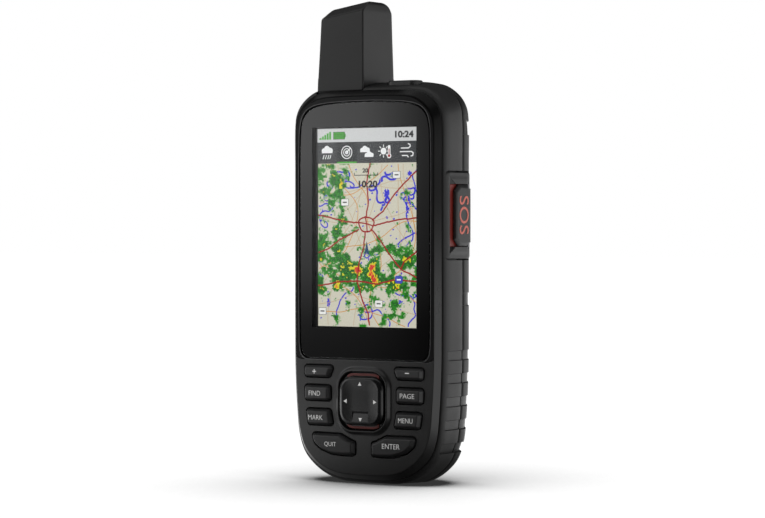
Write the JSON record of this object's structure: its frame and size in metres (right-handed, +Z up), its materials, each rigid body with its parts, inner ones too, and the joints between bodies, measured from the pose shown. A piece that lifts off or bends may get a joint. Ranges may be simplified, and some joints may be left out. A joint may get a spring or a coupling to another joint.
{
  "type": "handheld gps unit",
  "caption": "Upright ruggedised handheld satellite navigator with a large colour display, keypad and rocker, stub antenna, capped emergency key, rear mounting rail and weather cover.",
  "frame": {"origin": "centre of the flat foot that the unit stands on", "axes": "+X to the unit's right seen from the front, -Y out of the display, +Z up along the antenna"},
  "size_m": [0.063, 0.035, 0.1624],
  "materials": {
    "shell_plastic": "fine moulded grain, matte charcoal",
    "grip_rubber": "soft matte overmould, fine grain",
    "gloss_black": "polished black",
    "lens_glass": "polished clear cover with a dark printed border",
    "display_glass": "lit colour display",
    "key_rubber": "smooth matte keycap with pale legend",
    "alert_red": "satin dark red",
    "seal_rubber": "plain black seal",
    "screw_steel": "dark plated steel",
    "shield_tin": "stamped tin-plated sheet",
    "circuit_board": "green solder mask",
    "battery_wrap": "shrink wrap",
    "silicone": "grey silicone",
    "ceramic": "fired ceramic former",
    "lead_jacket": "black jacket",
    "light_pipe": "clear moulded light pipe",
    "component_plastic": "black component body"
  },
  "bodies": {
    "case": {"antenna_core": "ceramic", "antenna_housing": "shell_plastic", "antenna_lead": "lead_jacket", "antenna_seal": "seal_rubber", "battery_connector": "component_plastic", "battery_lead": "lead_jacket", "battery_pack": "battery_wrap", "battery_pad": "silicone", "beeper": "component_plastic", "case_screw_lower_left": "screw_steel", "case_screw_lower_right": "screw_steel", "case_screw_middle_left": "screw_steel", "case_screw_middle_right": "screw_steel", "case_screw_upper_left": "screw_steel", "case_screw_upper_right": "screw_steel", "case_seal": "seal_rubber", "display_frame": "shield_tin", "display_lens": "lens_glass", "display_panel": "display_glass", "dome_sheet": "shield_tin", "flashlight_led": "light_pipe", "flashlight_lens": "light_pipe", "front_case": "shell_plastic", "grip_band": "grip_rubber", "keypad_mat": "silicone", "lens_gasket": "seal_rubber", "lens_trim": "gloss_black", "main_board": "circuit_board", "mounting_spine": "shell_plastic", "power_switch": "shield_tin", "rear_case": "shell_plastic", "shield_can_main": "shield_tin", "shield_can_radio": "shield_tin", "sos_cap_pin": "screw_steel", "sos_surround": "grip_rubber", "sos_switch": "shield_tin", "spine_screw_lower": "screw_steel", "spine_screw_upper": "screw_steel", "usb_board": "circuit_board", "usb_lead": "lead_jacket", "usb_socket": "shield_tin", "vent_membrane": "silicone"},
    "key_zoom_in": {"key_zoom_in": "key_rubber"},
    "key_zoom_out": {"key_zoom_out": "key_rubber"},
    "key_find": {"key_find": "key_rubber"},
    "key_page": {"key_page": "key_rubber"},
    "key_mark": {"key_mark": "key_rubber"},
    "key_menu": {"key_menu": "key_rubber"},
    "key_quit": {"key_quit": "key_rubber"},
    "key_enter": {"key_enter": "key_rubber"},
    "rocker_tilt_frame": {"rocker_ring": "alert_red"},
    "rocker_pad": {"rocker_pad": "gloss_black"},
    "power_button": {"power_button": "key_rubber"},
    "sos_button": {"sos_button": "alert_red"},
    "sos_cap": {"sos_cap": "grip_rubber"},
    "usb_cover": {"usb_cover": "grip_rubber"}
  },
  "joints": [
    {"name": "button_power_press", "type": "slide", "parent": "case", "child": "power_button", "axis": [0, 0, -1], "range_m": [0, 0.0004], "stiffness_N_per_m": 600},
    {"name": "button_sos_press", "type": "slide", "parent": "case", "child": "sos_button", "axis": [-1, 0, 0], "range_m": [0, 0.0004], "stiffness_N_per_m": 600},
    {"name": "cover_sos_hinge", "type": "hinge", "parent": "case", "child": "sos_cap", "pos_m": [0.03055, 0.0057, 0.09], "axis": [0, 0, 1], "range_deg": [0, 110]},
    {"name": "cover_usb_hinge", "type": "hinge", "parent": "case", "child": "usb_cover", "pos_m": [0, 0.0169, 0.01935], "axis": [-1, 0, 0], "range_deg": [0, 110]},
    {"name": "dpad_tilt_vertical", "type": "hinge", "parent": "case", "child": "rocker_tilt_frame", "pos_m": [0, -0.01, 0.0277], "axis": [1, 0, 0], "range_deg": [-4, 4], "stiffness_Nm_per_rad": 0.05},
    {"name": "dpad_tilt_side", "type": "hinge", "parent": "rocker_tilt_frame", "child": "rocker_pad", "pos_m": [0, -0.01, 0.0277], "axis": [0, 0, 1], "range_deg": [-4, 4], "stiffness_Nm_per_rad": 0.05},
    {"name": "key_zoom_in_press", "type": "slide", "parent": "case", "child": "key_zoom_in", "axis": [0, 1, 0], "range_m": [0, 0.0004], "stiffness_N_per_m": 500},
    {"name": "key_zoom_out_press", "type": "slide", "parent": "case", "child": "key_zoom_out", "axis": [0, 1, 0], "range_m": [0, 0.0004], "stiffness_N_per_m": 500},
    {"name": "key_find_press", "type": "slide", "parent": "case", "child": "key_find", "axis": [0, 1, 0], "range_m": [0, 0.0004], "stiffness_N_per_m": 500},
    {"name": "key_page_press", "type": "slide", "parent": "case", "child": "key_page", "axis": [0, 1, 0], "range_m": [0, 0.0004], "stiffness_N_per_m": 500},
    {"name": "key_mark_press", "type": "slide", "parent": "case", "child": "key_mark", "axis": [0, 1, 0], "range_m": [0, 0.0004], "stiffness_N_per_m": 500},
    {"name": "key_menu_press", "type": "slide", "parent": "case", "child": "key_menu", "axis": [0, 1, 0], "range_m": [0, 0.0004], "stiffness_N_per_m": 500},
    {"name": "key_quit_press", "type": "slide", "parent": "case", "child": "key_quit", "axis": [0, 1, 0], "range_m": [0, 0.0004], "stiffness_N_per_m": 500},
    {"name": "key_enter_press", "type": "slide", "parent": "case", "child": "key_enter", "axis": [0, 1, 0], "range_m": [0, 0.0004], "stiffness_N_per_m": 500}
  ]
}
